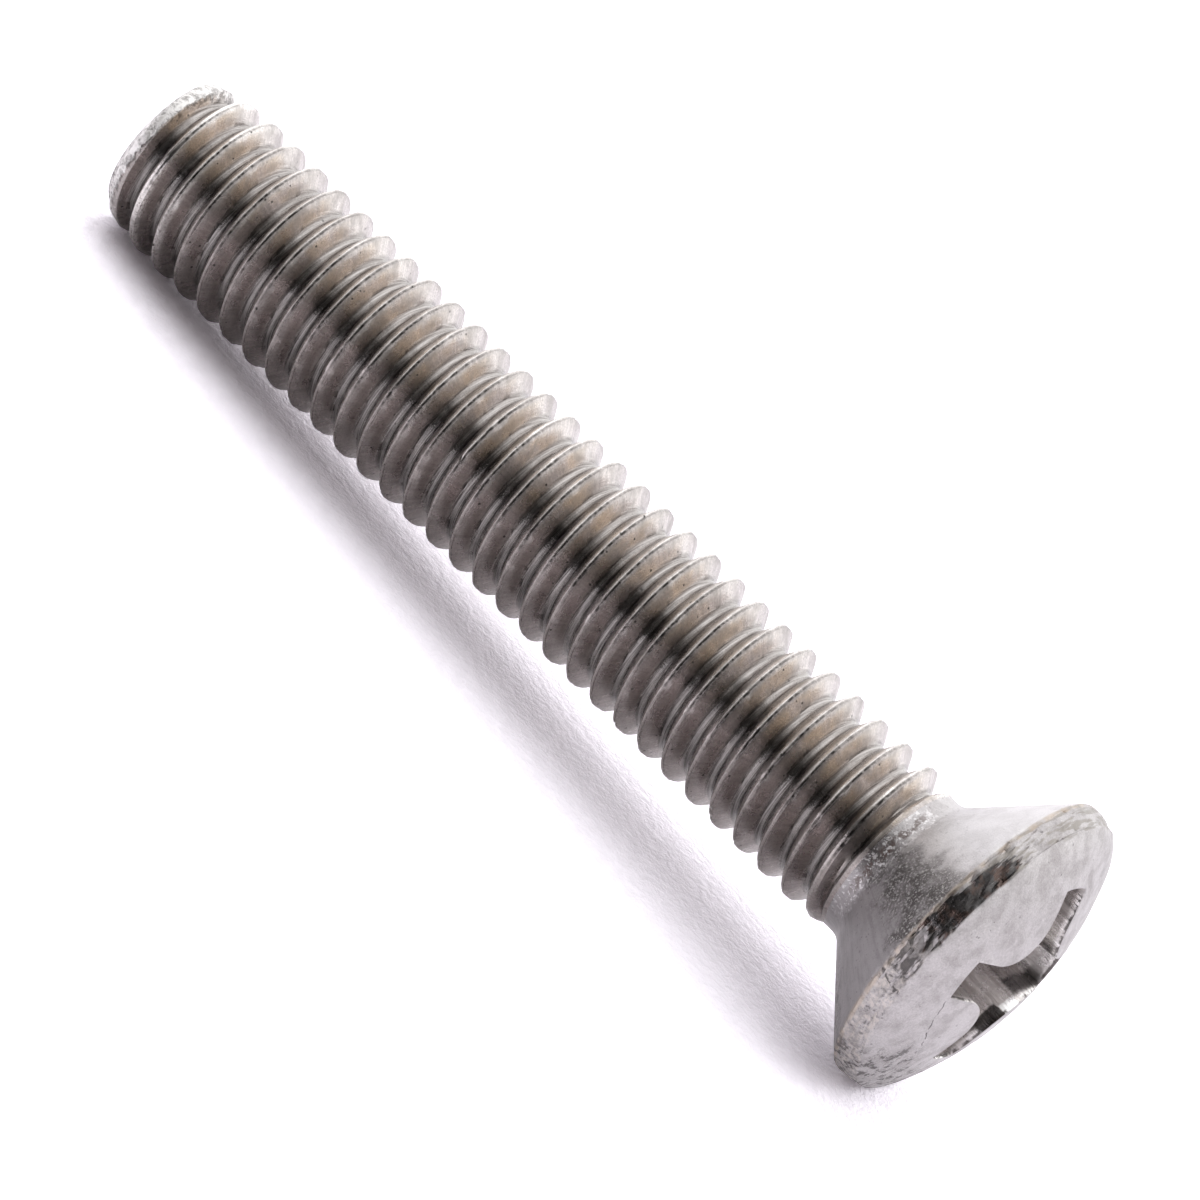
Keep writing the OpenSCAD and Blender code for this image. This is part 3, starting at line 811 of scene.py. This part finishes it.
# Recess: polished grey walls with punch marks that run down them, brown stain, facets darkened with painted
# shade and a facet lit with a painted highlight
recessLook = {
    "wall": (0.55, 0.523, 0.52, 1), "mark": (0.88, 0.85, 0.84, 1), "brown": (0.38, 0.33, 0.305, 1),
    "recessShade": (0.022, 0.019, 0.018, 1), "facetHighlight": (0.96, 0.95, 0.95, 1), "lip": (0.05, 0.042, 0.038, 1),
    "punchScale": (10.0, 10.0, 0.5), "punchSpecks": ((1.0, 4.0, 0.65), (0.36, 0.66)),
    "pattern": {"clouds": 0.4, "grain": 0.08, "pits": 0.2}, "wanderNoise": (3.0, 3.0), "wander": 9.0,
    "wanderRise": 0.012, "shadeSides": (-121, -98, 2), "shadeHeights": (25.10, 25.16), "shadeReach": (1.6, 1.4),
    "dimSides": (-172, -149, 9), "dimHeights": (24.86, 25.24, 0.12), "dimShare": 0.8, "shadeShare": 0.9,
    "facetHighlightSides": (-148, -122, 3), "facetHighlightHeights": (25.22, 25.27),
    "lipWander": 0.008, "lipDepths": (0.1, 0.06), "lipSpecks": ((4.0, 3.0), (0.4, 0.52, 0.0, 0.85)),
    "roughness": 0.22, "cloudRoughness": 0.12, "relief": 0.000006,
}


def makeRecessSteel():
    look = recessLook
    tree, shader = startSteel("recessSteel")
    height, side, _, reach = readMarks(tree)
    bench = readPlace(tree, "bench")
    punched = stretch(tree, bench, look["punchScale"])
    marks = specks(tree, look["punchSpecks"], place=punched)
    base = blend(tree, marks, look["wall"], look["mark"])
    steel = useGroup(tree, steelGroup, base=base, stain=look["brown"], **look["pattern"])
    wander = swing(tree, makeNoise(tree, bench, *look["wanderNoise"]), look["wander"])
    roughSide = plus(tree, side, wander)
    rise = plus(tree, height, times(tree, wander, look["wanderRise"]))
    # painted shade: two dark patches on the walls inside the recess
    recessShade = times(tree, zone(tree, roughSide, *look["shadeSides"]), remap(tree, rise, *look["shadeHeights"]),
                 remap(tree, reach, *look["shadeReach"]))
    dim = times(tree, zone(tree, roughSide, *look["dimSides"]), zone(tree, rise, *look["dimHeights"]),
                look["dimShare"])
    colour = paint(tree, steel["Color"], look["recessShade"], calculate(tree, "ADD", recessShade, dim, True),
                   look["shadeShare"])
    # painted highlight: a near-white facet on a wall of the recess
    colour = paint(tree, colour, look["facetHighlight"], zone(tree, roughSide, *look["facetHighlightSides"]),
                   remap(tree, rise, *look["facetHighlightHeights"]))
    # broken dark line under the lip, at a depth of domeMiddle + sqrt(domeRadius^2 - reach^2) - height
    domeTop = calculate(tree, "SQRT", minus(tree, domeRadius ** 2, times(tree, reach, reach)))
    depth = minus(tree, plus(tree, domeTop, domeMiddle), height)
    raggedDepth = plus(tree, depth, times(tree, wander, look["lipWander"]))
    colour = paint(tree, colour, look["lip"], remap(tree, raggedDepth, *look["lipDepths"]),
                   specks(tree, look["lipSpecks"]))
    roughness = plus(tree, times(tree, steel["Cloud"], look["cloudRoughness"]), look["roughness"])
    finishSteel(tree, shader, colour, roughness, marks, look["relief"])


makeThreadSteel()
makeHeadSteel()
makeRecessSteel()
print("steel: 3 finishes from 3 shared node groups")


# Floor: a wide sheet of white paper that keeps the screw's soft lilac shadow.
# Whiten is the camera's exposure of the paper, and mirrored is how much of that metal and glass show.
floorLook = {
    "half": 3.0, "paper": (0.95, 0.935, 0.96, 1), "fibre": (0.83, 0.817, 0.838, 1), "roughness": 0.9,
    "fibreSpecks": ((4200.0, 3.0, 0.75), (0.3, 0.7)), "relief": 0.00002,
    "whiten": (1.78, 1.74, 1.83), "mirrored": 0.4,
}


# How much a ray sees of the exposed paper: the camera all of it, metal and glass a part.
def exposedShare(tree):
    path = addNode(tree, "LightPath").outputs
    mirrored = calculate(tree, "MAXIMUM", path["Is Glossy Ray"], path["Is Transmission Ray"])
    return calculate(tree, "MAXIMUM", path["Is Camera Ray"], times(tree, mirrored, floorLook["mirrored"]))


def makeFloor():
    look = floorLook
    half = look["half"]
    mesh = bpy.data.meshes.new("floor")
    corners = [(-half, -half, 0), (half, -half, 0), (half, half, 0), (-half, half, 0)]
    mesh.from_pydata(corners, [], [(0, 1, 2, 3)])
    floor = addObject("floor", mesh)
    tree, shader = startMaterial("whitePaper", floor)
    place = addNode(tree, "TexCoord").outputs["Object"]
    fibres = specks(tree, look["fibreSpecks"], place=place)
    colour = blend(tree, fibres, look["paper"], look["fibre"])
    tree.links.new(colour, shader.inputs["Base Color"])
    bump = addNode(tree, "Bump", {"Height": fibres, "Distance": look["relief"]}).outputs[0]
    tree.links.new(bump, shader.inputs["Normal"])
    shader.inputs["Roughness"].default_value = look["roughness"]
    shader.inputs["Specular IOR Level"].default_value = 0.0
    # the camera sees the paper exposed to white, as in the photograph, and the shadow stays
    exposed = addNode(tree, "BsdfDiffuse", {"Color": stretch(tree, colour, look["whiten"]), "Normal": bump})
    mix = addNode(tree, "MixShader", {0: exposedShare(tree), 1: shader.outputs[0], 2: exposed.outputs[0]})
    tree.links.new(mix.outputs[0], tree.nodes["Material Output"].inputs["Surface"])


# Studio: pale walls and ceiling, open and dim on the side where the photographer stands.
# Radiance by the tone a x^2 + b y + c z of the direction, from dim (low tones) to pale (high tones).
studioLight = {
    "toneMix": (0.5, 0.8, 0.75), "dimTint": (1.0, 0.93, 0.88), "white": 1.0,
    "tones": [(-0.8, 0.05), (-0.35, 0.035), (-0.2, 0.06), (0.0, 0.2), (0.155, 0.52), (0.5, 1.0), (1.05, 1.2)],
    "lampTilt": -42.0, "lampWidth": 120.0, "lampStrength": 1.05,
}


def makeStudio():
    world = bpy.data.worlds.new("studio")
    bpy.context.scene.world = world
    world.use_nodes = True
    tree = world.node_tree
    x, y, z = addNode(tree, "SeparateXYZ", {0: addNode(tree, "TexCoord").outputs["Generated"]}).outputs
    terms = (times(tree, x, x), y, z)
    tone = plus(tree, *(times(tree, term, share) for term, share in zip(terms, studioLight["toneMix"])))
    tones = studioLight["tones"]
    first, last = tones[0][0], tones[-1][0]
    brightest = max(light for _, light in tones)
    share = addNode(tree, "MapRange", {"Value": tone, "From Min": first, "From Max": last}).outputs["Result"]
    ramp = addNode(tree, "ValToRGB", {"Fac": share})
    points = ramp.color_ramp.elements
    while len(points) < len(tones):
        points.new(0.5)
    for point, (place, _) in zip(points, tones):
        point.position = (place - first) / (last - first)
    for point, (_, light) in zip(points, tones):
        warm = 1 - min(light, 1)
        point.color = [light / brightest * (1 - warm * (1 - tint)) for tint in studioLight["dimTint"]] + [1]
    room = tree.nodes["Background"]
    tree.links.new(ramp.outputs["Color"], room.inputs["Color"])
    room.inputs["Strength"].default_value = brightest
    white = addNode(tree, "Background", {"Color": (1, 1, 1, 1), "Strength": studioLight["white"]})
    seen = addNode(tree, "LightPath").outputs["Is Camera Ray"]
    mix = addNode(tree, "MixShader", {0: seen, 1: room.outputs[0], 2: white.outputs[0]})
    tree.links.new(mix.outputs[0], tree.nodes["World Output"].inputs["Surface"])

    lamp = bpy.data.lights.new("overheadLamp", "SUN")
    lamp.angle = radians(studioLight["lampWidth"])
    lamp.energy = studioLight["lampStrength"]
    addObject("overheadLamp", lamp).rotation_euler = (radians(studioLight["lampTilt"]), 0, 0)


# Camera at the photograph's angle
cameraSpot = {"place": (0.041344, -0.132302, 0.059077), "turn": (61.1043, -38.3979, 35.911),
              "lens": 221.65, "nearest": 0.01}


def makeCamera():
    camera = bpy.data.cameras.new("camera")
    camera.lens = cameraSpot["lens"]
    camera.clip_start = cameraSpot["nearest"]
    cameraObject = addObject("camera", camera)
    cameraObject.location = cameraSpot["place"]
    cameraObject.rotation_euler = [radians(angle) for angle in cameraSpot["turn"]]
    bpy.context.scene.camera = cameraObject


makeFloor()
makeStudio()
makeCamera()
print("stage: floor, studio light and camera")
bpy.context.scene.view_settings.view_transform = "Standard"

bpy.context.view_layer.update()
